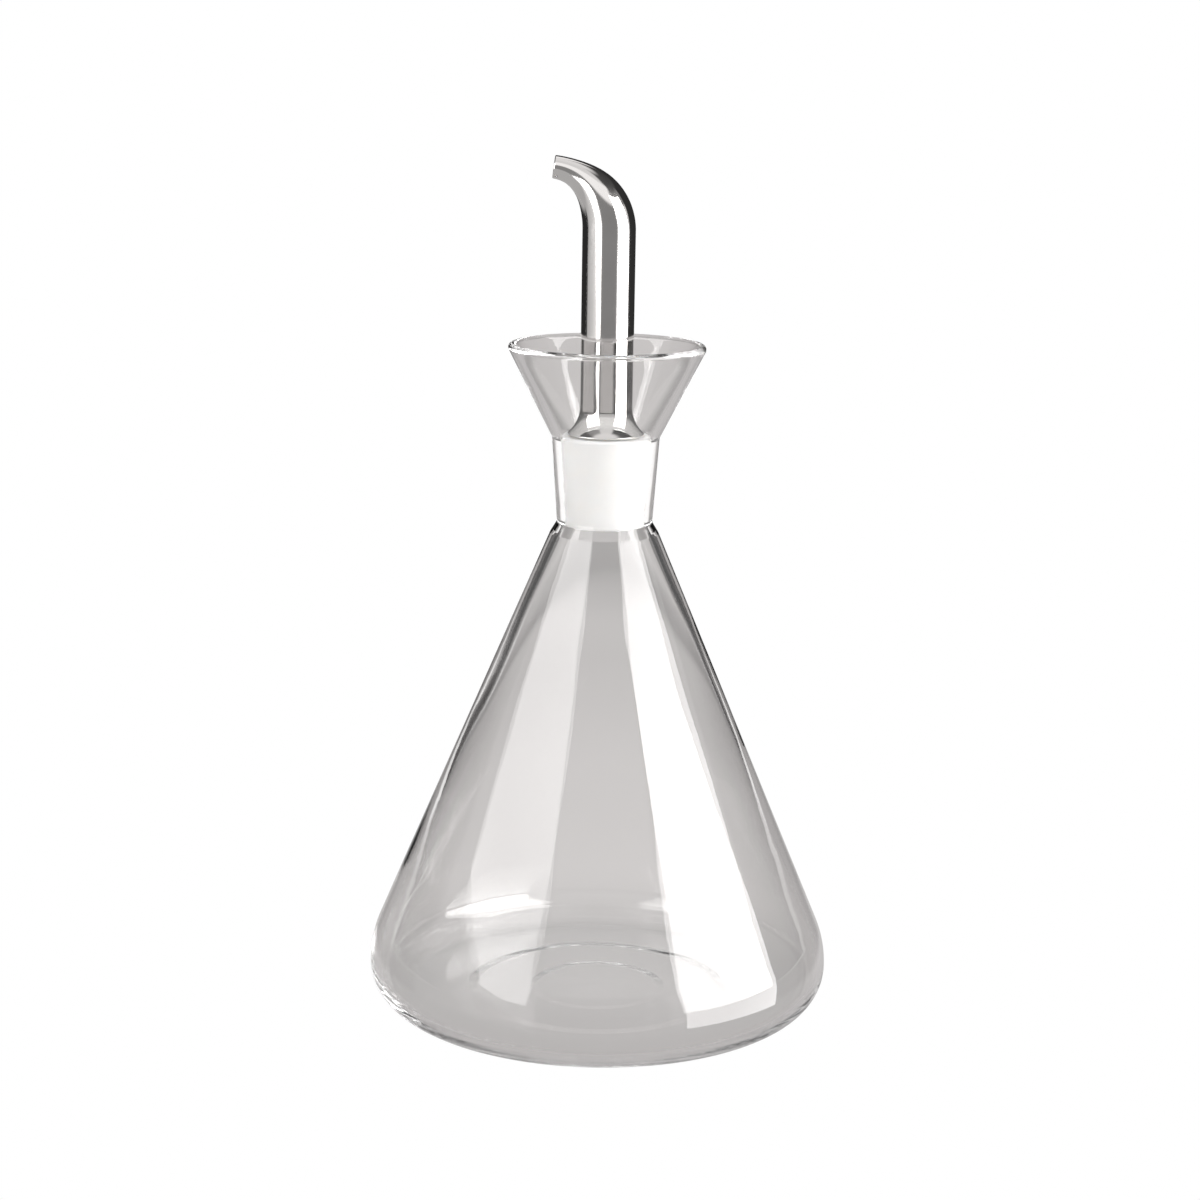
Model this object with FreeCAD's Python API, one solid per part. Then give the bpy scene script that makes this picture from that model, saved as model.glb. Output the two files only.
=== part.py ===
"""Drip-return oil cruet: a conical glass flask with a funnel mouth, a tapered white stopper and a bent steel spout.

Frame: millimetres, +Z up, origin at the centre of the face the flask stands on. The spout's beak points along -X.
Bench order: the spout pulls up off the stopper's spigot, the stopper pulls up out of the flask's neck, and the flask is left.
"""

import FreeCAD
import Part
import math
import os

V = FreeCAD.Vector
Z = V(0, 0, 1)

# ---------------------------------------------------------------- driving dimensions (mm)
# flask, outside
BODY_R = 47.0            # widest radius, just above the foot
HEEL_R = 8.45            # lower corner radius, from the standing ring up to the widest point
HIP_R = 20.3             # upper corner radius, from the widest point into the cone
SHOULDER_R = 10.88       # radius where the cone meets the short shoulder
SHOULDER_Z = 98.1
NECK_LOW_R = 9.55        # outside of the neck at its narrow lower end
NECK_LOW_Z = 100.3
NECK_TOP_R = 10.72       # outside of the neck where the funnel starts
NECK_TOP_Z = 117.4
RIM_R = 19.6             # outside of the funnel's rim
RIM_Z = 136.0
# flask, glass thickness
WALL = 1.8
NECK_WALL = 1.65
BASE_WALL = 2.5
# pushed-up centre of the base
RING_IN_R = 27.0         # inner edge of the flat standing ring
PUNT_STEP_R = 24.8       # top of the low step inside the ring
BUTTON_R = 14.1          # slightly higher round middle
STEP_H = 0.35
PUNT_H = 0.62

# stopper
SEAT_GAP = 0.05          # radial gap left in the tapered seat
STOP_TOP_Z = 118.0
STOP_LOW_Z = 99.2
SPIGOT_R = 4.60          # upstand that the spout is pushed on to
SPIGOT_TOP_Z = 128.0
CHANNEL_R = 3.4          # oil channel through the stopper
INLET_R = 4.8            # channel's wide lower mouth
INLET_H = 5.0
GROOVE_R = 1.5           # drip-return and air groove down the stopper's side
GROOVE_DEPTH = 1.7
GROOVE_AZ = 35.0         # degrees round from +X, behind the beak's opposite side

# spout
TUBE_R = 5.25
TUBE_WALL = 0.60
FOOT_Z = 118.06          # lowest point of the flared foot
FLARE_R = 6.2            # outside radius of the trumpet-shaped foot
FLARE_DEG = 52.0
BEND_R = 12.3            # centreline radius of the bend
BEND_Z = 158.2           # height where the bend starts
BEND = (                 # degrees round the bend, outside radius there
    (0, 5.25), (12, 5.14), (24, 4.84), (36, 4.32), (48, 3.60), (60, 2.88), (72, 2.42), (84, 2.28),
)
TIP_WALL = 0.50


# ---------------------------------------------------------------- profile helpers, in the (r, z) half plane
def sub(a, b):
    return (a[0] - b[0], a[1] - b[1])


def add(a, b, k=1.0):
    return (a[0] + b[0] * k, a[1] + b[1] * k)


def unit(a):
    n = math.hypot(*a)
    return (a[0] / n, a[1] / n)


def dot(a, b):
    return a[0] * b[0] + a[1] * b[1]


def meet(p, d, q, e):
    """Where the line from p along d crosses the line from q along e."""
    det = d[0] * -e[1] + e[0] * d[1]
    w = sub(q, p)
    t = (w[0] * -e[1] + e[0] * w[1]) / det
    return add(p, d, t)


def offset(p, q, k):
    """The line p to q moved k to its left: a point and a direction."""
    d = unit(sub(q, p))
    return add(p, (-d[1], d[0]), k), d


def p3(p):
    return V(p[0], 0, p[1])


def rounded(points):
    """Edges of a closed outline from (r, z, corner radius) points, each corner rounded with a tangent arc."""
    n = len(points)
    ends = []
    for i, (r, z, c) in enumerate(points):
        here = (r, z)
        if c <= 0:
            ends.append((here, None, here))
            continue
        to_prev = unit(sub(points[i - 1][:2], here))
        to_next = unit(sub(points[(i + 1) % n][:2], here))
        half = math.acos(max(-1.0, min(1.0, dot(to_prev, to_next)))) / 2
        cut = c / math.tan(half)
        bis = unit(add(to_prev, to_next))
        centre = add(here, bis, c / math.sin(half))
        ends.append((add(here, to_prev, cut), add(centre, bis, -c), add(here, to_next, cut)))
    edges = []
    for i in range(n):
        a, mid, b = ends[i]
        if mid:
            edges.append(Part.Arc(p3(a), p3(mid), p3(b)).toShape())
        nxt = ends[(i + 1) % n][0]
        gap = math.hypot(*sub(nxt, b))
        if gap > 1e-6:
            edges.append(Part.LineSegment(p3(b), p3(nxt)).toShape())
    return edges


def spin(points):
    """Solid of revolution about Z of a closed rounded outline."""
    wire = Part.Wire(Part.__sortEdges__(rounded(points)))
    solid = Part.Face(wire).revolve(V(0, 0, 0), Z, 360)
    if solid.Volume < 0:
        solid.reverse()
    return solid


# ---------------------------------------------------------------- flask
# cone line: from the shoulder, tangent to the hip arc that ends upright at the widest point
hip_c = (BODY_R - HIP_R, HEEL_R + 0.15)
shoulder = (SHOULDER_R, SHOULDER_Z)
d = sub(shoulder, hip_c)
t_ang = math.atan2(d[1], d[0]) - math.acos(HIP_R / math.hypot(*d))
touch = (hip_c[0] + HIP_R * math.cos(t_ang), hip_c[1] + HIP_R * math.sin(t_ang))
hip_corner = meet(touch, unit(sub(shoulder, touch)), (BODY_R, 0), (0, 1))

neck_low = (NECK_LOW_R, NECK_LOW_Z)
neck_top = (NECK_TOP_R, NECK_TOP_Z)
rim_c = (RIM_R - NECK_WALL / 2, RIM_Z - NECK_WALL / 2)   # middle of the fire-polished rim
d = sub(rim_c, neck_top)
f_ang = math.atan2(d[1], d[0]) - math.asin(NECK_WALL / 2 / math.hypot(*d))
along = (math.cos(f_ang), math.sin(f_ang))               # up the funnel's outside line
out = (along[1], -along[0])                              # outward across the funnel's wall
rim_out = add(add(rim_c, out, NECK_WALL / 2), along, NECK_WALL / 2)
rim_in = add(add(rim_c, out, -NECK_WALL / 2), along, NECK_WALL / 2)

# inside lines, each parallel to its outside line
fp, fd = rim_in, along
np_, nd = offset(neck_low, neck_top, NECK_WALL)
cp, cd = offset(hip_corner, shoulder, WALL)
in_funnel = meet(fp, fd, np_, nd)
in_throat = meet(np_, nd, cp, cd)
in_hip = meet(cp, cd, (BODY_R - WALL, 0), (0, 1))

flask = spin([
    (0, PUNT_H, 0),
    (BUTTON_R - 1.6, PUNT_H - 0.03, 3.0),
    (BUTTON_R, STEP_H + 0.03, 3.0),
    (PUNT_STEP_R, STEP_H, 3.0),
    (RING_IN_R, 0, 3.0),
    (BODY_R, 0, HEEL_R),
    (hip_corner[0], hip_corner[1], HIP_R),
    (shoulder[0], shoulder[1], 2.2),
    (neck_low[0], neck_low[1], 0.9),
    (neck_top[0], neck_top[1], 1.6),
    (rim_out[0], rim_out[1], NECK_WALL / 2 - 0.01),
    (rim_in[0], rim_in[1], NECK_WALL / 2 - 0.01),
    (in_funnel[0], in_funnel[1], 1.2),
    (in_throat[0], in_throat[1], 1.6),
    (in_hip[0], in_hip[1], HIP_R - WALL),
    (BODY_R - WALL, BASE_WALL, 6.0),
    (0, BASE_WALL, 0),
])

# ---------------------------------------------------------------- stopper
seat_p = add(np_, (-nd[1], nd[0]), SEAT_GAP)             # the neck's inside line, moved in by the gap


def seat_r(z):
    return seat_p[0] + nd[0] * (z - seat_p[1]) / nd[1]


stopper = spin([
    (CHANNEL_R, SPIGOT_TOP_Z, 0.35),
    (CHANNEL_R, STOP_LOW_Z + INLET_H, 2.0),
    (INLET_R, STOP_LOW_Z, 0.3),
    (seat_r(STOP_LOW_Z), STOP_LOW_Z, 0.9),
    (seat_r(STOP_TOP_Z), STOP_TOP_Z, 0.7),
    (SPIGOT_R, STOP_TOP_Z, 2.6),
    (SPIGOT_R, SPIGOT_TOP_Z, 0.5),
])
# drip-return groove: a round-bottomed channel that follows the tapered side from top to bottom
tilt = math.atan2(nd[0], nd[1])
low = V(seat_r(STOP_LOW_Z - 2) - GROOVE_DEPTH + GROOVE_R, 0, STOP_LOW_Z - 2)
length = (STOP_TOP_Z - STOP_LOW_Z + 4) / math.cos(tilt)
axis = V(math.sin(tilt), 0, math.cos(tilt))
side = V(math.cos(tilt), 0, -math.sin(tilt))
groove = Part.makeCylinder(GROOVE_R, length, low, axis)
slab = Part.makeBox(4.0, 2 * GROOVE_R, length)
slab.Placement = FreeCAD.Placement(
    low - V(0, GROOVE_R, 0), FreeCAD.Rotation(V(0, 1, 0), math.degrees(tilt))
)
groove = groove.fuse(slab).removeSplitter()
groove.rotate(V(0, 0, 0), Z, GROOVE_AZ)
stopper = stopper.cut(groove)

# ---------------------------------------------------------------- spout
flare_c = (TUBE_R + FLARE_R, FOOT_Z + (FLARE_R + TUBE_WALL) * math.sin(math.radians(FLARE_DEG)))


def flare(radius, deg):
    a = math.radians(180 + deg)
    return (flare_c[0] + radius * math.cos(a), flare_c[1] + radius * math.sin(a))


o0, om, o1 = (flare(FLARE_R, k) for k in (0, FLARE_DEG / 2, FLARE_DEG))
i0, im, i1 = (flare(FLARE_R + TUBE_WALL, k) for k in (0, FLARE_DEG / 2, FLARE_DEG))
lower = Part.Wire(Part.__sortEdges__([
    Part.LineSegment(p3((TUBE_R, BEND_Z)), p3(o0)).toShape(),
    Part.Arc(p3(o0), p3(om), p3(o1)).toShape(),
    Part.LineSegment(p3(o1), p3(i1)).toShape(),
    Part.Arc(p3(i1), p3(im), p3(i0)).toShape(),
    Part.LineSegment(p3(i0), p3((TUBE_R - TUBE_WALL, BEND_Z))).toShape(),
    Part.LineSegment(p3((TUBE_R - TUBE_WALL, BEND_Z)), p3((TUBE_R, BEND_Z))).toShape(),
]))
tube = Part.Face(lower).revolve(V(0, 0, 0), Z, 360)
if tube.Volume < 0:
    tube.reverse()


def on_bend(deg):
    """Centreline point and direction at an angle round the bend."""
    a = math.radians(deg)
    return (V(-BEND_R + BEND_R * math.cos(a), 0, BEND_Z + BEND_R * math.sin(a)),
            V(-math.sin(a), 0, math.cos(a)))


def tapered(wall):
    """Round body that narrows along the bend, its radius reduced by the wall for the inside."""
    end = BEND[-1][0]
    path = Part.Wire([Part.Arc(*(on_bend(k)[0] for k in (0, end / 2, end))).toShape()])
    rings = []
    for deg, r in BEND:
        t = TUBE_WALL + (TIP_WALL - TUBE_WALL) * deg / end
        c, n = on_bend(deg)
        rings.append(Part.Wire([Part.makeCircle(r - wall * t, c, n)]))
    return path.makePipeShell(rings, True, False, 0)


beak = tapered(0).cut(tapered(1))
spout = tube.fuse(beak)

# ---------------------------------------------------------------- write
os.makedirs("parts", exist_ok=True)
for name, shape in (("flask", flask), ("stopper", stopper), ("spout", spout)):
    solids = shape.Solids
    assert len(solids) == 1, (name, len(solids))
    s = solids[0]
    if s.Volume < 0:
        s.reverse()
    assert s.isValid(), name
    b = s.BoundBox
    print("%-8s volume %.1f mm3, x %.2f..%.2f, y %.2f..%.2f, z %.2f..%.2f, faces %d" % (
        name, s.Volume, b.XMin, b.XMax, b.YMin, b.YMax, b.ZMin, b.ZMax, len(s.Faces)))
    s.exportStep("parts/%s.step" % name)
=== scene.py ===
import math

import bpy
import bmesh
import numpy as np
from mathutils import Matrix, Vector


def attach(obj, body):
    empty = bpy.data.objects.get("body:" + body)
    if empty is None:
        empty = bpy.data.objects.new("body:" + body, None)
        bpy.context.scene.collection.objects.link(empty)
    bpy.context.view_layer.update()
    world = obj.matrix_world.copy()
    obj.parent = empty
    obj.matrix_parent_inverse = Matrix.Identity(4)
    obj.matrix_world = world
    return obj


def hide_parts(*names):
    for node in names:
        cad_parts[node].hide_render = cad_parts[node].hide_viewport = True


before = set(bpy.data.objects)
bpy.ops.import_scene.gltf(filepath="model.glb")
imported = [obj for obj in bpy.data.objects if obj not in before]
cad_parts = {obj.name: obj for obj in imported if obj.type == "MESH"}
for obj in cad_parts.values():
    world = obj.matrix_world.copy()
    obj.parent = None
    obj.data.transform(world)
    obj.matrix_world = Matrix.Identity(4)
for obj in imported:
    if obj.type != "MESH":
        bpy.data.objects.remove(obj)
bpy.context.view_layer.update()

scene = bpy.context.scene
scene.view_settings.view_transform = "Standard"
scene.cycles.max_bounces = 64
scene.cycles.transmission_bounces = 48
scene.cycles.glossy_bounces = 48

MM = 0.001

# ---------------------------------------------------------------- sizes, in mm, the same as the CAD model's
BODY_R, HEEL_R, HIP_R = 47.0, 8.45, 20.3
SHOULDER_R, SHOULDER_Z = 10.88, 98.1
NECK_LOW_R, NECK_LOW_Z = 9.55, 100.3
NECK_TOP_R, NECK_TOP_Z = 10.72, 117.4
RIM_R, RIM_Z = 19.6, 136.0
WALL, NECK_WALL, BASE_WALL = 1.8, 1.65, 2.5
RING_IN_R, PUNT_STEP_R, BUTTON_R, STEP_H, PUNT_H = 27.0, 24.8, 14.1, 0.35, 0.62
SEAT_GAP, STOP_TOP_Z, STOP_LOW_Z = 0.05, 118.0, 99.2
SPIGOT_R, SPIGOT_TOP_Z, CHANNEL_R, INLET_R, INLET_H = 4.60, 128.0, 3.4, 4.8, 5.0
GROOVE_R, GROOVE_DEPTH, GROOVE_AZ = 1.5, 1.7, 35.0
TUBE_R, TUBE_WALL, FOOT_Z, FLARE_R, FLARE_DEG = 5.25, 0.60, 118.06, 6.2, 52.0
BEND_R, BEND_Z, TIP_WALL = 12.3, 158.2, 0.50
BEND = ((0, 5.25), (12, 5.14), (24, 4.84), (36, 4.32), (48, 3.60), (60, 2.88), (72, 2.42), (84, 2.28))


# ---------------------------------------------------------------- outline helpers, in the (r, z) half plane
def sub(a, b):
    return (a[0] - b[0], a[1] - b[1])


def add(a, b, k=1.0):
    return (a[0] + b[0] * k, a[1] + b[1] * k)


def unit(a):
    n = math.hypot(*a)
    return (a[0] / n, a[1] / n)


def meet(p, d, q, e):
    det = d[0] * -e[1] + e[0] * d[1]
    w = sub(q, p)
    return add(p, d, (w[0] * -e[1] + e[0] * w[1]) / det)


def offset(p, q, k):
    d = unit(sub(q, p))
    return add(p, (-d[1], d[0]), k), d


def rounded(points, closed, step_line, step_arc):
    """A polyline through (r, z, corner radius) points, each corner a tangent arc, sampled finely enough to look smooth."""
    n = len(points)
    ends = []
    for i, (r, z, c) in enumerate(points):
        here = (r, z)
        if c <= 0 or (not closed and i in (0, n - 1)):
            ends.append((here, None, None, here, 0))
            continue
        tp = unit(sub(points[i - 1][:2], here))
        tn = unit(sub(points[(i + 1) % n][:2], here))
        dt = tp[0] * tn[0] + tp[1] * tn[1]
        half = math.acos(max(-1.0, min(1.0, dt))) / 2
        cut = c / math.tan(half)
        centre = add(here, unit(add(tp, tn)), c / math.sin(half))
        ends.append((add(here, tp, cut), centre, c, add(here, tn, cut), math.pi - 2 * half))
    out = []
    for i in range(n if closed else n):
        a, centre, c, b, sweep = ends[i]
        if centre is None:
            out.append(a)
        else:
            k = max(4, int(math.ceil(abs(sweep) * c / step_arc)), int(math.ceil(math.degrees(sweep) / 5)))
            a0 = math.atan2(a[1] - centre[1], a[0] - centre[0])
            a1 = math.atan2(b[1] - centre[1], b[0] - centre[0])
            da = (a1 - a0 + math.pi) % (2 * math.pi) - math.pi
            for j in range(k + 1):
                t = a0 + da * j / k
                out.append((centre[0] + c * math.cos(t), centre[1] + c * math.sin(t)))
        if closed or i < n - 1:
            nxt = ends[(i + 1) % n][0]
            gap = math.hypot(*sub(nxt, b))
            k = int(gap // step_line)
            for j in range(1, k + 1):
                t = j / (k + 1)
                out.append((b[0] + (nxt[0] - b[0]) * t, b[1] + (nxt[1] - b[1]) * t))
    clean = []
    for q in out:
        if not clean or math.hypot(*sub(q, clean[-1])) > 1e-4:
            clean.append(q)
    if closed and math.hypot(*sub(clean[0], clean[-1])) < 1e-4:
        clean.pop()
    return clean


def mesh_object(name, verts, faces, smooth=True):
    me = bpy.data.meshes.new(name)
    me.from_pydata([tuple(v) for v in verts], [], faces)
    me.validate()
    me.update()
    bm = bmesh.new()
    bm.from_mesh(me)
    bmesh.ops.recalc_face_normals(bm, faces=bm.faces)
    bm.to_mesh(me)
    bm.free()
    me.polygons.foreach_set("use_smooth", [smooth] * len(me.polygons))
    ob = bpy.data.objects.new(name, me)
    scene.collection.objects.link(ob)
    return ob


def lathe(name, grid, poles=(None, None), closed=False):
    """Skin over rings: grid[i] is a list of points round ring i. poles are end points for a fan; closed joins the last ring to the first."""
    verts, faces = [], []
    m = len(grid[0])
    for ring in grid:
        verts.extend(ring)
    n = len(grid)
    for i in range(n if closed else n - 1):
        a, b = i * m, ((i + 1) % n) * m
        for j in range(m):
            k = (j + 1) % m
            faces.append((a + j, a + k, b + k, b + j))
    for which, p in enumerate(poles):
        if p is None:
            continue
        verts.append(p)
        c = len(verts) - 1
        a = 0 if which == 0 else (n - 1) * m
        for j in range(m):
            k = (j + 1) % m
            faces.append((c, a + k, a + j) if which == 0 else (c, a + j, a + k))
    return mesh_object(name, verts, faces)


# ---------------------------------------------------------------- flask outline
hip_c = (BODY_R - HIP_R, HEEL_R + 0.15)
shoulder = (SHOULDER_R, SHOULDER_Z)
d = sub(shoulder, hip_c)
t_ang = math.atan2(d[1], d[0]) - math.acos(HIP_R / math.hypot(*d))
touch = (hip_c[0] + HIP_R * math.cos(t_ang), hip_c[1] + HIP_R * math.sin(t_ang))
hip_corner = meet(touch, unit(sub(shoulder, touch)), (BODY_R, 0), (0, 1))
neck_low, neck_top = (NECK_LOW_R, NECK_LOW_Z), (NECK_TOP_R, NECK_TOP_Z)
rim_c = (RIM_R - NECK_WALL / 2, RIM_Z - NECK_WALL / 2)
d = sub(rim_c, neck_top)
f_ang = math.atan2(d[1], d[0]) - math.asin(NECK_WALL / 2 / math.hypot(*d))
along = (math.cos(f_ang), math.sin(f_ang))
out = (along[1], -along[0])
rim_out = add(add(rim_c, out, NECK_WALL / 2), along, NECK_WALL / 2)
rim_in = add(add(rim_c, out, -NECK_WALL / 2), along, NECK_WALL / 2)
np_, nd = offset(neck_low, neck_top, NECK_WALL)
cp, cd = offset(hip_corner, shoulder, WALL)
in_funnel = meet(rim_in, along, np_, nd)
in_throat = meet(np_, nd, cp, cd)
in_hip = meet(cp, cd, (BODY_R - WALL, 0), (0, 1))

flask_line = rounded([
    (0, PUNT_H, 0),
    (BUTTON_R - 1.6, PUNT_H - 0.03, 3.0),
    (BUTTON_R, STEP_H + 0.03, 3.0),
    (PUNT_STEP_R, STEP_H, 3.0),
    (RING_IN_R, 0, 3.0),
    (BODY_R, 0, HEEL_R),
    (hip_corner[0], hip_corner[1], HIP_R),
    (shoulder[0], shoulder[1], 2.2),
    (neck_low[0], neck_low[1], 0.9),
    (neck_top[0], neck_top[1], 1.6),
    (rim_out[0], rim_out[1], NECK_WALL / 2 - 0.01),
    (rim_in[0], rim_in[1], NECK_WALL / 2 - 0.01),
    (in_funnel[0], in_funnel[1], 1.2),
    (in_throat[0], in_throat[1], 1.6),
    (in_hip[0], in_hip[1], HIP_R - WALL),
    (BODY_R - WALL, BASE_WALL, 6.0),
    (0, BASE_WALL, 0),
], False, 3.0, 0.45)


def blown(th, z, seed):
    """Slow swell of hand-blown glass along the wall's normal, in mm: a few long waves round and up the body."""
    a, b, c = seed
    return (0.045 * np.sin(2 * th + a) * np.cos(z / 19.0 + b)
            + 0.040 * np.sin(3 * th - z / 13.0 + c)
            + 0.030 * np.sin(5 * th + z / 8.5 + a + b)
            + 0.032 * np.sin(8 * th + 1.4 * np.sin(z / 9.0 + c) + b) * np.sin(z / 10.5 + a + 0.8 * np.sin(th))
            + 0.018 * np.sin(z / 5.2 + 2 * np.sin(th + c)))


def ring_points(profile, seg, wave=None):
    """Rings of points round Z from an outline, each point moved along the outline's normal by wave(angle, z, index)."""
    P = np.array(profile, float)
    T = np.gradient(P, axis=0)
    T /= np.linalg.norm(T, axis=1)[:, None]
    N = np.stack([T[:, 1], -T[:, 0]], 1)
    th = np.arange(seg) * 2 * math.pi / seg
    grid = []
    for i in range(len(P)):
        w = wave(th, P[i, 1], i) if wave is not None else np.zeros(seg)
        r = P[i, 0] + N[i, 0] * w
        z = P[i, 1] + N[i, 1] * w
        grid.append(np.stack([r * np.cos(th), r * np.sin(th), z], 1) * MM)
    return grid


fl = np.array(flask_line)
rim_index = int(np.argmax(fl[:, 1]))
arc = np.concatenate([[0], np.cumsum(np.hypot(*np.diff(fl, axis=0).T))])


def swell_amount():
    """How much of the swell each ring gets: none where the flask stands, at its widest, in the ground seat or at the rim, and no steps anywhere."""
    raw = np.ones(len(fl))
    for i, (r, z) in enumerate(fl):
        if i < rim_index:
            raw[i] = 0.0 if r < 40 and z < 5 else float(np.clip((z - 9.0) / 20.0, 0, 1))
        else:
            raw[i] = 0.45 if z < 5 else float(np.clip((z + 4.0) / 26.0, 0.45, 1))
        if z > 84:
            raw[i] = 0.0
        if 118.5 < z < 134.0:
            raw[i] = 0.45
    out_ = np.zeros(len(fl))
    for i in range(len(fl)):
        k = np.exp(-0.5 * ((arc - arc[i]) / 2.6) ** 2)
        out_[i] = (raw * k).sum() / k.sum()
        r, z = fl[i]
        if i < rim_index:
            out_[i] *= float(np.clip((z - 9.0) / 3.0, 0, 1))
        out_[i] *= float(np.clip(abs(z - 136.0) / 3.0, 0, 1)) if z > 118 else 1.0
        out_[i] *= float(np.clip((97.0 - z) / 6.0, 0, 1)) if z < 118.3 else float(np.clip((z - 118.3) / 3.0, 0, 1))
        out_[i] *= float(np.clip(r / 12.0, 0, 1)) if z < 6 else 1.0
    return out_


amount = swell_amount()


def flask_wave(th, z, i):
    """The inside and outside have waves of their own."""
    w = blown(th, z, (0.4, 1.3, 2.2) if i < rim_index else (2.9, 0.2, 4.4)) * amount[i]
    if i < rim_index:      # keeps the widest part inside the solid's own box
        w = w - 0.03 * np.clip(z / 4.0, 0, 1) * np.clip((40.0 - z) / 25.0, 0, 1)
    return w


SEG = 344
grid = ring_points(flask_line, SEG, flask_wave)
body = [g for g in grid[1:-1]]
glass = lathe("flask_glass", body, poles=(tuple(grid[0][0] * [0, 0, 1]), tuple(grid[-1][0] * [0, 0, 1])))


# ---------------------------------------------------------------- stopper
seat_p = add(np_, (-nd[1], nd[0]), SEAT_GAP)


def seat_r(z):
    return seat_p[0] + nd[0] * (z - seat_p[1]) / nd[1]


stop_line = rounded([
    (CHANNEL_R, SPIGOT_TOP_Z, 0.35),
    (CHANNEL_R, STOP_LOW_Z + INLET_H, 2.0),
    (INLET_R, STOP_LOW_Z, 0.3),
    (seat_r(STOP_LOW_Z), STOP_LOW_Z, 0.9),
    (seat_r(STOP_TOP_Z), STOP_TOP_Z, 0.7),
    (SPIGOT_R, STOP_TOP_Z, 2.6),
    (SPIGOT_R, SPIGOT_TOP_Z, 0.5),
], True, 0.5, 0.2)
half_w = math.asin(GROOVE_R / seat_r(108))
az = math.radians(GROOVE_AZ)
fine = np.linspace(-1.35 * half_w, 1.35 * half_w, 61)
coarse = np.linspace(1.35 * half_w, 2 * math.pi - 1.35 * half_w, 170)[1:-1]
th = np.concatenate([fine, coarse]) + az
grid = []
for r, z in stop_line:
    full = seat_r(min(max(z, STOP_LOW_Z), STOP_TOP_Z))
    psi = (th - az + math.pi) % (2 * math.pi) - math.pi
    y = np.abs(full * np.sin(psi))
    u = np.clip(y / GROOVE_R, 0, 1)
    depth = np.where((y < GROOVE_R) & (np.cos(psi) > 0), GROOVE_DEPTH * np.sqrt(np.clip(1 - u ** 3.2, 0, 1)), 0.0)
    inner = 6.4 if z > 110 else 5.3
    rr = np.full(len(th), r)
    if r > inner and z < STOP_TOP_Z + 0.3:
        rr = r - depth * (r - inner) / (full - inner)
    grid.append(np.stack([rr * np.cos(th), rr * np.sin(th), np.full(len(th), z)], 1) * MM)
plug = lathe("stopper_plug", grid, closed=True)


# ---------------------------------------------------------------- spout
def bend_radius(deg):
    """Outside radius round the bend: a smooth curve through the table."""
    xs = np.array([b[0] for b in BEND], float)
    ys = np.array([b[1] for b in BEND], float)
    n = len(xs)
    h = np.diff(xs)
    A = np.zeros((n, n)); R = np.zeros(n)
    A[0, 0] = 2 * h[0]; A[0, 1] = h[0]; R[0] = 6 * ((ys[1] - ys[0]) / h[0] - 0.0)
    A[-1, -1] = 2 * h[-1]; A[-1, -2] = h[-1]; R[-1] = 6 * (-0.004 - (ys[-1] - ys[-2]) / h[-1])
    for i in range(1, n - 1):
        A[i, i - 1] = h[i - 1]; A[i, i] = 2 * (h[i - 1] + h[i]); A[i, i + 1] = h[i]
        R[i] = 6 * ((ys[i + 1] - ys[i]) / h[i] - (ys[i] - ys[i - 1]) / h[i - 1])
    M = np.linalg.solve(A, R)
    i = min(n - 2, max(0, int(np.searchsorted(xs, deg) - 1)))
    a, b = xs[i + 1] - deg, deg - xs[i]
    return (M[i] * a ** 3 + M[i + 1] * b ** 3) / (6 * h[i]) + (ys[i] / h[i] - M[i] * h[i] / 6) * a + (ys[i + 1] / h[i] - M[i + 1] * h[i] / 6) * b


END = BEND[-1][0]
flare_cr = TUBE_R + FLARE_R
flare_cz = FOOT_Z + (FLARE_R + TUBE_WALL) * math.sin(math.radians(FLARE_DEG))
stations = []            # (centre x, centre z, direction angle from +Z in degrees, outer radius, wall)
for k in range(0, 46):
    z = flare_cz + (BEND_Z - flare_cz) * k / 45
    stations.append((0.0, z, 0.0, TUBE_R, TUBE_WALL))
LAST = END - math.degrees(TIP_WALL / 2 / BEND_R)
for k in range(1, 85):
    deg = LAST * k / 84
    a = math.radians(deg)
    stations.append((-BEND_R + BEND_R * math.cos(a), BEND_Z + BEND_R * math.sin(a), deg, bend_radius(deg),
                     TUBE_WALL + (TIP_WALL - TUBE_WALL) * deg / END))
SP = 144
ang = np.arange(SP) * 2 * math.pi / SP


def hoop(cx, cz, deg, r):
    a = math.radians(deg)
    ux = np.array([math.cos(a), 0, math.sin(a)])
    uy = np.array([0, 1.0, 0])
    c = np.array([cx, 0, cz])
    return (c + r * (np.cos(ang)[:, None] * ux + np.sin(ang)[:, None] * uy)) * MM


rings = []
lip = TUBE_WALL / 2
fl_n = 26
# foot: round lip, then up the outside of the trumpet
foot = []
for k in range(fl_n + 1):
    a = math.radians(180 + FLARE_DEG * (1 - k / fl_n))
    foot.append((flare_cr + FLARE_R * math.cos(a), flare_cz + FLARE_R * math.sin(a)))
foot_in = []
for k in range(fl_n + 1):
    a = math.radians(180 + FLARE_DEG * k / fl_n)
    rr = FLARE_R + TUBE_WALL
    foot_in.append((flare_cr + rr * math.cos(a), flare_cz + rr * math.sin(a)))
for r, z in foot[:-1]:
    rings.append(hoop(0, z, 0, r))
for cx, cz, deg, r, t in stations:
    rings.append(hoop(cx, cz, deg, r))
cx, cz, deg, r, t = stations[-1]
a = math.radians(deg)
for k in range(1, 10):       # rounded edge of the beak, which ends where the CAD one does
    q = math.pi * k / 10
    adv = t / 2 * math.sin(q)
    rings.append(hoop(cx - math.sin(a) * adv, cz + math.cos(a) * adv, deg, r - t / 2 + t / 2 * math.cos(q)))
for cx, cz, deg, r, t in reversed(stations):
    rings.append(hoop(cx, cz, deg, r - t))
for r, z in foot_in[1:]:
    rings.append(hoop(0, z, 0, r))
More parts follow.
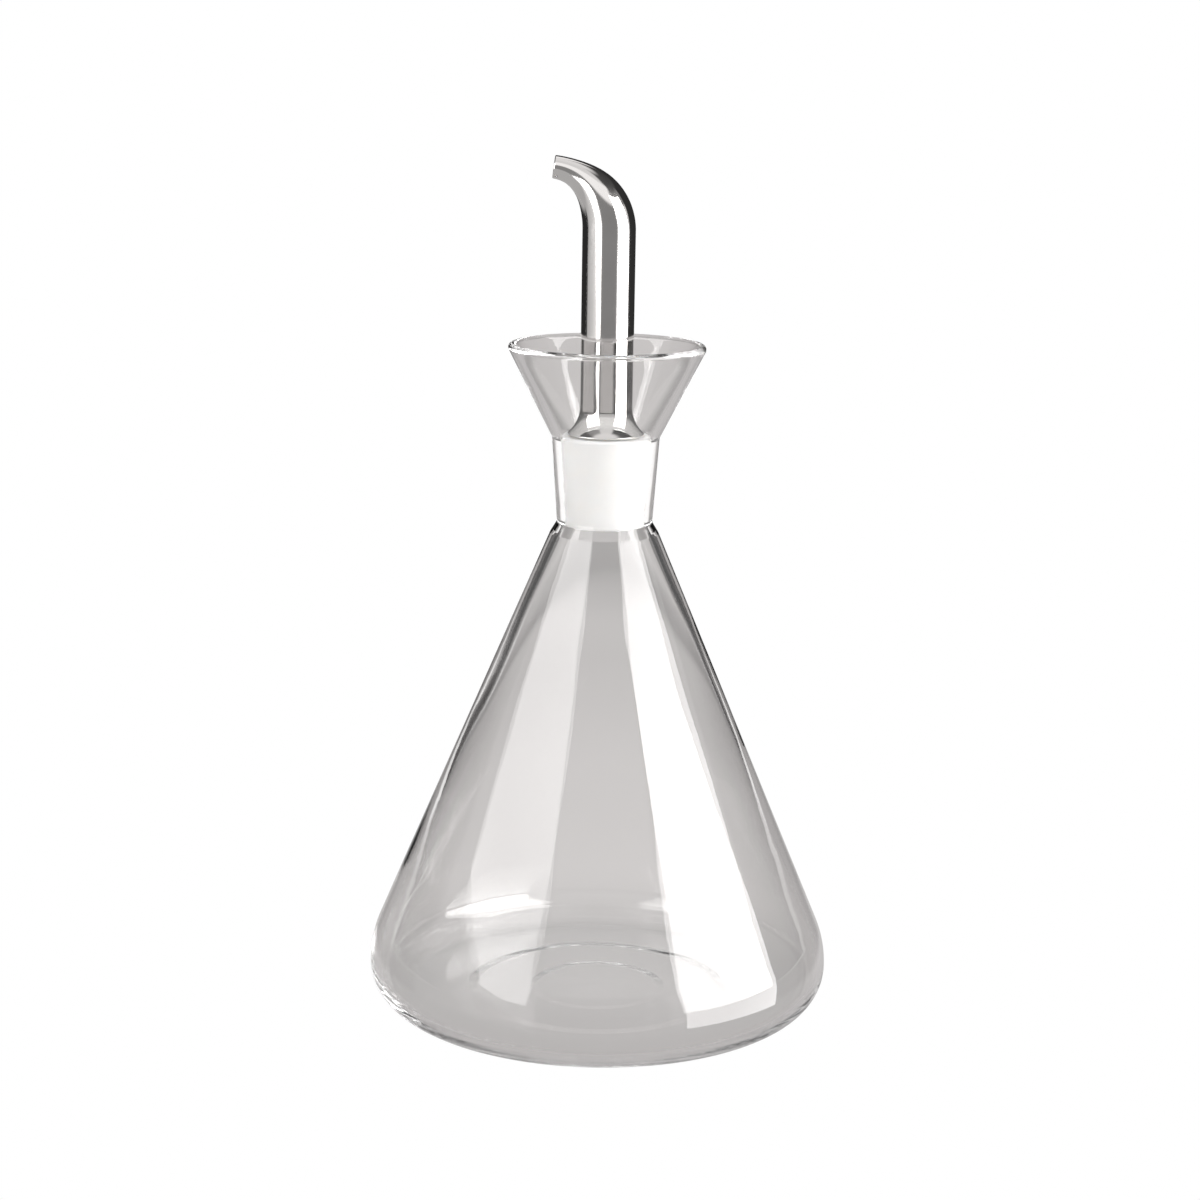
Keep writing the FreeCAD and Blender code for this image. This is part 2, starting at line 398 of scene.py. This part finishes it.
# rounded lip of the foot
p0, p1 = foot_in[-1], foot[0]
mid = ((p0[0] + p1[0]) / 2, (p0[1] + p1[1]) / 2)
ax = unit(sub(p0, mid))
outw = (ax[1], -ax[0])
if outw[0] < 0:
    outw = (-outw[0], -outw[1])
lip_pts = []
for k in range(1, 8):
    q = math.pi * k / 8
    lip_pts.append(add(add(mid, ax, lip * math.cos(q)), outw, 0.12 * lip * math.sin(q)))
for r, z in lip_pts:
    rings.append(hoop(0, z, 0, r))
tube = lathe("spout_tube", rings, closed=True)


# ---------------------------------------------------------------- materials
def new_mat(name):
    m = bpy.data.materials.new(name)
    m.use_nodes = True
    nt = m.node_tree
    nt.nodes.clear()
    o = nt.nodes.new("ShaderNodeOutputMaterial")
    b = nt.nodes.new("ShaderNodeBsdfPrincipled")
    nt.links.new(b.outputs[0], o.inputs[0])
    return m, nt, b


def node(nt, kind, **kw):
    n = nt.nodes.new(kind)
    for k, v in kw.items():
        if k in n.bl_rna.properties:
            setattr(n, k, v)
        else:
            n.inputs[k].default_value = v
    return n


def noise(nt, scale, detail=3.0, rough=0.5, vec=None, dist=0.0):
    n = nt.nodes.new("ShaderNodeTexNoise")
    n.inputs["Scale"].default_value = scale
    n.inputs["Detail"].default_value = detail
    n.inputs["Roughness"].default_value = rough
    n.inputs["Distortion"].default_value = dist
    if vec is not None:
        nt.links.new(vec, n.inputs["Vector"])
    return n


def ramp(nt, fac, stops):
    r = nt.nodes.new("ShaderNodeValToRGB")
    el = r.color_ramp.elements
    while len(el) > 1:
        el.remove(el[-1])
    el[0].position, el[0].color = stops[0][0], stops[0][1]
    for p, c in stops[1:]:
        e = el.new(p)
        e.color = c
    nt.links.new(fac, r.inputs["Fac"])
    return r


def map_range(nt, val, a, b, c, d_, smooth=False):
    m = nt.nodes.new("ShaderNodeMapRange")
    if smooth:
        m.interpolation_type = "SMOOTHSTEP"
    for k, v in zip(("From Min", "From Max", "To Min", "To Max"), (a, b, c, d_)):
        m.inputs[k].default_value = v
    nt.links.new(val, m.inputs["Value"])
    return m


def stretched(nt, scale):
    tc = nt.nodes.new("ShaderNodeTexCoord")
    mp = nt.nodes.new("ShaderNodeMapping")
    mp.inputs["Scale"].default_value = scale
    nt.links.new(tc.outputs["Object"], mp.inputs["Vector"])
    return mp.outputs["Vector"]


# clear blown glass: faint tint, handling haze that only just breaks the polish, and slow optical ripple
m_glass, nt, b = new_mat("clear_blown_glass")
b.inputs["Transmission Weight"].default_value = 1.0
b.inputs["IOR"].default_value = 1.473
v = stretched(nt, (1, 1, 1))
tint = noise(nt, 14.0, 2.0, 0.5, v)
cr = ramp(nt, tint.outputs["Fac"], [(0.3, (0.970, 0.974, 0.970, 1)), (0.7, (0.982, 0.983, 0.981, 1))])
nt.links.new(cr.outputs["Color"], b.inputs["Base Color"])
haze = noise(nt, 55.0, 5.0, 0.62, v, 0.6)
hz = map_range(nt, haze.outputs["Fac"], 0.52, 0.80, 0.004, 0.045, True)
nt.links.new(hz.outputs["Result"], b.inputs["Roughness"])
rip = noise(nt, 38.0, 2.0, 0.4, stretched(nt, (1, 1, 2.4)))
bump = nt.nodes.new("ShaderNodeBump")
bump.inputs["Strength"].default_value = 0.10
bump.inputs["Distance"].default_value = 0.0004
nt.links.new(rip.outputs["Fac"], bump.inputs["Height"])
nt.links.new(bump.outputs["Normal"], b.inputs["Normal"])

# milky moulded polymer
m_plug, nt, b = new_mat("milky_polymer")
v = stretched(nt, (1, 1, 1))
cloud = noise(nt, 90.0, 4.0, 0.55, v)
cr = ramp(nt, cloud.outputs["Fac"], [(0.3, (0.90, 0.895, 0.885, 1)), (0.7, (0.945, 0.943, 0.938, 1))])
nt.links.new(cr.outputs["Color"], b.inputs["Base Color"])
b.inputs["Subsurface Weight"].default_value = 0.6
b.inputs["Subsurface Radius"].default_value = (1.0, 0.95, 0.9)
b.inputs["Subsurface Scale"].default_value = 0.003
b.inputs["IOR"].default_value = 1.45
rg = map_range(nt, noise(nt, 400.0, 3.0, 0.5, v).outputs["Fac"], 0.3, 0.7, 0.30, 0.44)
nt.links.new(rg.outputs["Result"], b.inputs["Roughness"])
grain = noise(nt, 1400.0, 3.0, 0.5, v)
bump = nt.nodes.new("ShaderNodeBump")
bump.inputs["Strength"].default_value = 0.10
bump.inputs["Distance"].default_value = 0.0001
nt.links.new(grain.outputs["Fac"], bump.inputs["Height"])
nt.links.new(bump.outputs["Normal"], b.inputs["Normal"])

# polished stainless: bright, with fine drawing lines along the tube and light handling marks
m_steel, nt, b = new_mat("polished_stainless")
b.inputs["Metallic"].default_value = 1.0
v = stretched(nt, (1, 1, 1))
cl = noise(nt, 120.0, 3.0, 0.5, v)
cr = ramp(nt, cl.outputs["Fac"], [(0.3, (0.66, 0.645, 0.635, 1)), (0.7, (0.72, 0.71, 0.70, 1))])
nt.links.new(cr.outputs["Color"], b.inputs["Base Color"])
lines = noise(nt, 2600.0, 3.0, 0.6, stretched(nt, (1, 1, 0.035)))
marks = noise(nt, 260.0, 4.0, 0.6, v)
mix = nt.nodes.new("ShaderNodeMath")
mix.operation = "MULTIPLY"
nt.links.new(lines.outputs["Fac"], mix.inputs[0])
nt.links.new(marks.outputs["Fac"], mix.inputs[1])
rg = map_range(nt, mix.outputs[0], 0.12, 0.45, 0.045, 0.13)
nt.links.new(rg.outputs["Result"], b.inputs["Roughness"])
bump = nt.nodes.new("ShaderNodeBump")
bump.inputs["Strength"].default_value = 0.05
bump.inputs["Distance"].default_value = 0.00004
nt.links.new(lines.outputs["Fac"], bump.inputs["Height"])
nt.links.new(bump.outputs["Normal"], b.inputs["Normal"])

for ob, mat, body_name, cad, slot in ((glass, m_glass, "flask", "flask", "clear_glass"),
                                      (plug, m_plug, "stopper", "stopper", "white_polymer"),
                                      (tube, m_steel, "spout", "spout", "polished_steel")):
    ob.data.materials.append(mat)
    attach(ob, body_name)
    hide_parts(cad)


# ---------------------------------------------------------------- stage: a floor seen plain white by the camera and glowing with painted light and shade for all other rays, two soft panels, dim room
def stage_mat(name):
    m = bpy.data.materials.new(name)
    m.use_nodes = True
    m.node_tree.nodes.clear()
    o = m.node_tree.nodes.new("ShaderNodeOutputMaterial")
    return m, m.node_tree, o


floor = mesh_object("floor", *(lambda R, n: (
    [(0, 0, -0.0003)] + [(R * math.cos(2 * math.pi * i / n), R * math.sin(2 * math.pi * i / n), -0.0003) for i in range(n)],
    [(0, 1 + i, 1 + (i + 1) % n) for i in range(n)]))(4.0, 96), smooth=False)
m, nt, o = stage_mat("white_floor_painted_glow")
lp = nt.nodes.new("ShaderNodeLightPath")
geo = nt.nodes.new("ShaderNodeNewGeometry")
ln = nt.nodes.new("ShaderNodeVectorMath")
ln.operation = "LENGTH"
nt.links.new(geo.outputs["Position"], ln.inputs[0])
dist = map_range(nt, ln.outputs["Value"], 0.0, 2.0, 0.0, 1.0)
# painted light and shade: for every ray but the camera's, the floor glows in rings round the flask, painted brighter
# and darker, then dims out past about 1.3 m
fall = ramp(nt, dist.outputs["Result"], [(k, (v, v * 0.957, v * 0.95, 1)) for k, v in (
    (0.0, 0.57), (0.012, 0.54), (0.02, 0.49), (0.03, 0.54), (0.038, 0.60), (0.045, 0.62), (0.068, 0.60), (0.09, 0.595), (0.12, 0.545), (0.15, 0.515), (0.18, 0.525), (0.19, 0.515), (0.206, 0.434), (0.222, 0.345), (0.245, 0.365), (0.27, 0.42), (0.33, 0.60), (0.50, 0.58), (0.62, 0.55), (0.72, 0.10), (1.0, 0.08))])
pos = nt.nodes.new("ShaderNodeSeparateXYZ")
nt.links.new(geo.outputs["Position"], pos.inputs[0])
side = nt.nodes.new("ShaderNodeMath")
side.operation = "ABSOLUTE"
nt.links.new(pos.outputs["X"], side.inputs[0])
s1 = map_range(nt, side.outputs[0], 0.20, 0.27, 0.0, 1.0, True)
s2 = map_range(nt, ln.outputs["Value"], 0.36, 0.46, 0.0, 1.0, True)
s3 = map_range(nt, ln.outputs["Value"], 0.74, 0.82, 1.0, 0.0, True)
m1 = nt.nodes.new("ShaderNodeMath")
m1.operation = "MULTIPLY"
nt.links.new(s1.outputs["Result"], m1.inputs[0])
nt.links.new(s2.outputs["Result"], m1.inputs[1])
m2 = nt.nodes.new("ShaderNodeMath")
m2.operation = "MULTIPLY"
nt.links.new(m1.outputs[0], m2.inputs[0])
nt.links.new(s3.outputs["Result"], m2.inputs[1])
# painted pools of light out to either side, brighter than the rings
wide = nt.nodes.new("ShaderNodeMix")
wide.data_type = "RGBA"
nt.links.new(m2.outputs[0], wide.inputs[0])
nt.links.new(fall.outputs["Color"], wide.inputs[6])
wide.inputs[7].default_value = (1.15, 1.125, 1.12, 1)
turned = nt.nodes.new("ShaderNodeMath")     # far away, the floor's painted glow stays pale only straight behind and is painted dark elsewhere
turned.operation = "DIVIDE"
nt.links.new(side.outputs[0], turned.inputs[0])
nt.links.new(ln.outputs["Value"], turned.inputs[1])
f1 = map_range(nt, turned.outputs[0], 0.38, 0.55, 0.0, 1.0, True)
f2 = map_range(nt, ln.outputs["Value"], 0.78, 0.86, 0.0, 1.0, True)
m3 = nt.nodes.new("ShaderNodeMath")
m3.operation = "MULTIPLY"
nt.links.new(f1.outputs["Result"], m3.inputs[0])
nt.links.new(f2.outputs["Result"], m3.inputs[1])
f3 = map_range(nt, turned.outputs[0], 0.80, 0.88, 1.0, 0.0, True)     # and out to the left again
f4 = map_range(nt, pos.outputs["X"], -0.05, 0.0, 0.0, 1.0, True)
m4 = nt.nodes.new("ShaderNodeMath")
m4.operation = "MAXIMUM"
nt.links.new(f3.outputs["Result"], m4.inputs[0])
nt.links.new(f4.outputs["Result"], m4.inputs[1])
m5 = nt.nodes.new("ShaderNodeMath")
m5.operation = "MULTIPLY"
nt.links.new(m3.outputs[0], m5.inputs[0])
nt.links.new(m4.outputs[0], m5.inputs[1])
far = nt.nodes.new("ShaderNodeMix")
far.data_type = "RGBA"
nt.links.new(m5.outputs[0], far.inputs[0])
nt.links.new(wide.outputs[2], far.inputs[6])
far.inputs[7].default_value = (0.08, 0.077, 0.076, 1)
# the camera sees the floor plain white; every other ray sees its painted glow
seen = nt.nodes.new("ShaderNodeEmission")
seen.inputs["Color"].default_value = (1, 1, 1, 1)
seen.inputs["Strength"].default_value = 1.0
floor_painted_glow = nt.nodes.new("ShaderNodeEmission")
nt.links.new(far.outputs[2], floor_painted_glow.inputs["Color"])
mx = nt.nodes.new("ShaderNodeMixShader")
nt.links.new(lp.outputs["Is Camera Ray"], mx.inputs["Fac"])
nt.links.new(floor_painted_glow.outputs[0], mx.inputs[1])
nt.links.new(seen.outputs[0], mx.inputs[2])
nt.links.new(mx.outputs[0], o.inputs["Surface"])
floor.data.materials.append(m)
floor.visible_glossy = False


def panel(name, inner, outer, top, bottom, power, power_top=None, radius=0.40):
    """A curved soft panel round the object. inner and outer are (height mm, azimuth deg) edges, bottom a list of (azimuth, height mm)."""
    hs = np.linspace(0, 1, 40)
    us = np.linspace(0, 1, 40)
    verts, faces = [], []
    for hv in hs:
        for u in us:
            # bottom height depends on the azimuth, so find the azimuth at mid height first
            a0 = np.interp(0, [p[0] for p in inner], [p[1] for p in inner])
            a1 = np.interp(0, [p[0] for p in outer], [p[1] for p in outer])
            az_ = a0 + (a1 - a0) * u
            keys = sorted(bottom)
            h0 = np.interp(az_, [k[0] for k in keys], [k[1] for k in keys])
            h = h0 + (top - h0) * hv
            ai = np.interp(h, [p[0] for p in inner], [p[1] for p in inner])
            ao = np.interp(h, [p[0] for p in outer], [p[1] for p in outer])
            a = math.radians(ai + (ao - ai) * u)
            verts.append((radius * math.sin(a), -radius * math.cos(a), h * MM))
    n = len(us)
    for i in range(len(hs) - 1):
        for j in range(n - 1):
            faces.append((i * n + j, i * n + j + 1, (i + 1) * n + j + 1, (i + 1) * n + j))
    ob = mesh_object(name, verts, faces, smooth=False)
    m, nt, o = stage_mat(name)
    e = nt.nodes.new("ShaderNodeEmission")
    e.inputs["Color"].default_value = (1.0, 0.985, 0.98, 1)
    pos = nt.nodes.new("ShaderNodeNewGeometry")
    xyz = nt.nodes.new("ShaderNodeSeparateXYZ")
    nt.links.new(pos.outputs["Position"], xyz.inputs[0])
    glow = map_range(nt, xyz.outputs["Z"], 0.18, 0.40, power, power if power_top is None else power_top)
    nt.links.new(glow.outputs["Result"], e.inputs["Strength"])
    nt.links.new(e.outputs[0], o.inputs["Surface"])
    ob.data.materials.append(m)
    ob.visible_camera = False
    ob.visible_diffuse = False
    ob.visible_shadow = False
    return ob


panel("panel_right",
      [(-100, 42), (100, 41), (171, 41), (205, 39), (250, 37), (300, 35), (420, 33)],
      [(-100, 93), (100, 94), (155, 92), (185, 90), (211, 88), (263, 85), (420, 80)],
      440, [(30, -92), (100, -92)], 8.0)
panel("panel_left",
      [(0, -33), (180, -33), (230, -30), (420, -28)],
      [(0, -84), (133, -84), (180, -87), (230, -90), (270, -86), (420, -82)],
      440, [(-90, 133), (-61, 142), (-45, 73), (-30, 60)], 3.5, 6.3)

# a narrow slanting strip of light, out to the left and behind
strip = []
for k in range(13):
    t = k / 12
    for w in (-1.6, 1.6):
        a = math.radians(-101 - 24 * t + w)
        strip.append((0.40 * math.sin(a), -0.40 * math.cos(a), (132 - 108 * t + 4 * w) * MM))
ob = mesh_object("strip_left", strip, [(2 * k, 2 * k + 1, 2 * k + 3, 2 * k + 2) for k in range(12)], smooth=False)
m, nt, o = stage_mat("strip_left")
e = nt.nodes.new("ShaderNodeEmission")
e.inputs["Color"].default_value = (1.0, 0.985, 0.98, 1)
e.inputs["Strength"].default_value = 1.4
nt.links.new(e.outputs[0], o.inputs["Surface"])
ob.data.materials.append(m)
ob.visible_camera = False
ob.visible_diffuse = False
ob.visible_shadow = False

world = bpy.data.worlds.new("studio")
scene.world = world
world.use_nodes = True
nt = world.node_tree
nt.nodes.clear()
o = nt.nodes.new("ShaderNodeOutputWorld")
tc = nt.nodes.new("ShaderNodeTexCoord")
sx = nt.nodes.new("ShaderNodeSeparateXYZ")
nt.links.new(tc.outputs["Generated"], sx.inputs[0])


def math_node(nt, op, a, b_=None):
    n = nt.nodes.new("ShaderNodeMath")
    n.operation = op
    for i, v_ in enumerate((a, b_)):
        if v_ is None:
            continue
        if isinstance(v_, (int, float)):
            n.inputs[i].default_value = v_
        else:
            nt.links.new(v_, n.inputs[i])
    return n.outputs[0]


# azimuth from the front (-Y), positive towards +X, as 0..1 for -180..180 degrees; elevation in degrees
turn = math_node(nt, "ARCTAN2", sx.outputs["X"], math_node(nt, "MULTIPLY", sx.outputs["Y"], -1.0))
turn = math_node(nt, "ADD", math_node(nt, "MULTIPLY", turn, 1 / (2 * math.pi)), 0.5)
rise = math_node(nt, "MULTIPLY", math_node(nt, "ARCSINE", sx.outputs["Z"]), 180 / math.pi)


def band(stops):
    return ramp(nt, turn, [((a + 180) / 360, (v, v * 0.985, v * 0.98, 1)) for a, v in stops]).outputs["Color"]


def blend(lower, upper, e0, e1):
    m_ = nt.nodes.new("ShaderNodeMix")
    m_.data_type = "RGBA"
    nt.links.new(map_range(nt, rise, e0, e1, 0.0, 1.0, True).outputs["Result"], m_.inputs[0])
    nt.links.new(lower, m_.inputs[6])
    nt.links.new(upper, m_.inputs[7])
    return m_.outputs[2]


# what mirrors and glass surfaces reflect
mirror = blend(band([(-180, 0.55), (180, 0.55)]),
               band([(-180, 0.03), (-103, 0.03), (-99, 0.60), (-66, 0.85), (-62, 1.0), (-31, 1.0), (-29, 0.30), (35, 0.30),
                     (37, 1.0), (97, 1.0), (100, 0.04), (180, 0.03)]), -15, -10)
mirror = blend(mirror, band([(-180, 0.04), (-104, 0.04), (-98, 0.5), (-32, 0.6), (-27, 1.25), (34, 1.25), (42, 0.30), (95, 0.30),
                             (101, 0.04), (180, 0.04)]), 19, 26)
mirror = blend(mirror, band([(-180, 0.04), (-145, 0.05), (-100, 0.05), (-90, 0.4), (-32, 0.5), (-27, 1.25), (40, 1.25), (48, 0.15),
                             (95, 0.10), (145, 0.05), (180, 0.04)]), 38, 46)
mirror = blend(mirror, band([(-180, 1.2), (-152, 1.2), (-145, 0.08), (-100, 0.10), (-90, 0.3), (-40, 0.4), (-27, 0.9), (30, 0.9), (44, 0.10),
                             (145, 0.06), (152, 1.2), (180, 1.2)]), 47, 54)
mirror = blend(mirror, band([(-180, 1.0), (180, 1.0)]), 64, 76)
# what is seen through the glass and what lights the pieces inside it
through = blend(band([(-180, 0.25), (-166, 0.12), (-135, 0.10), (-95, 0.25), (-85, 0.7), (85, 0.7), (95, 0.25), (135, 0.10), (166, 0.12), (180, 0.25)]),
                band([(-180, 0.45), (-150, 0.45), (-130, 0.6), (-90, 0.8), (-80, 1.1), (80, 1.1), (90, 0.8), (130, 0.6), (150, 0.45), (180, 0.45)]), 5, 14)
through = blend(through, band([(-180, 1.1), (180, 1.1)]), 40, 55)
lp = nt.nodes.new("ShaderNodeLightPath")
pick = nt.nodes.new("ShaderNodeMix")
pick.data_type = "RGBA"
nt.links.new(lp.outputs["Is Transmission Ray"], pick.inputs[0])
nt.links.new(mirror, pick.inputs[6])
nt.links.new(through, pick.inputs[7])
soft = nt.nodes.new("ShaderNodeMix")     # light for the matt piece, softer from behind so that its shape shows
soft.data_type = "RGBA"
nt.links.new(map_range(nt, lp.outputs["Diffuse Depth"], 0.0, 1.0, 0.0, 1.0).outputs["Result"], soft.inputs[0])
nt.links.new(pick.outputs[2], soft.inputs[6])
front = band([(-180, 0.465), (-115, 0.465), (-55, 1.55), (55, 1.55), (115, 0.465), (180, 0.465)])
nt.links.new(blend(front, band([(-180, 1.395), (180, 1.395)]), 25, 65), soft.inputs[7])
bg = nt.nodes.new("ShaderNodeBackground")
nt.links.new(soft.outputs[2], bg.inputs["Color"])
bg.inputs["Strength"].default_value = 1.0
white = nt.nodes.new("ShaderNodeBackground")
white.inputs["Color"].default_value = (1, 1, 1, 1)
mx = nt.nodes.new("ShaderNodeMixShader")
nt.links.new(lp.outputs["Is Camera Ray"], mx.inputs["Fac"])
nt.links.new(bg.outputs[0], mx.inputs[1])
nt.links.new(white.outputs[0], mx.inputs[2])
nt.links.new(mx.outputs[0], o.inputs["Surface"])

# ---------------------------------------------------------------- camera
PITCH, ROLL = 0.2141, 0.0159
cam = bpy.data.cameras.new("camera")
cam.sensor_width = 36.0
cam.lens = 79.0
cam_ob = bpy.data.objects.new("camera", cam)
scene.collection.objects.link(cam_ob)
fwd = Vector((0, math.cos(PITCH), -math.sin(PITCH)))
upv = Vector((0, math.sin(PITCH), math.cos(PITCH)))
rt = Vector((1, 0, 0))
x_axis = rt * math.cos(ROLL) + upv * math.sin(ROLL)
y_axis = -rt * math.sin(ROLL) + upv * math.cos(ROLL)
M = Matrix((x_axis, y_axis, -fwd)).transposed().to_4x4()
M.translation = Vector((-0.65 * MM, -520 * MM, 197.13 * MM))
cam_ob.matrix_world = M
cam.clip_start, cam.clip_end = 0.01, 50
scene.camera = cam_ob
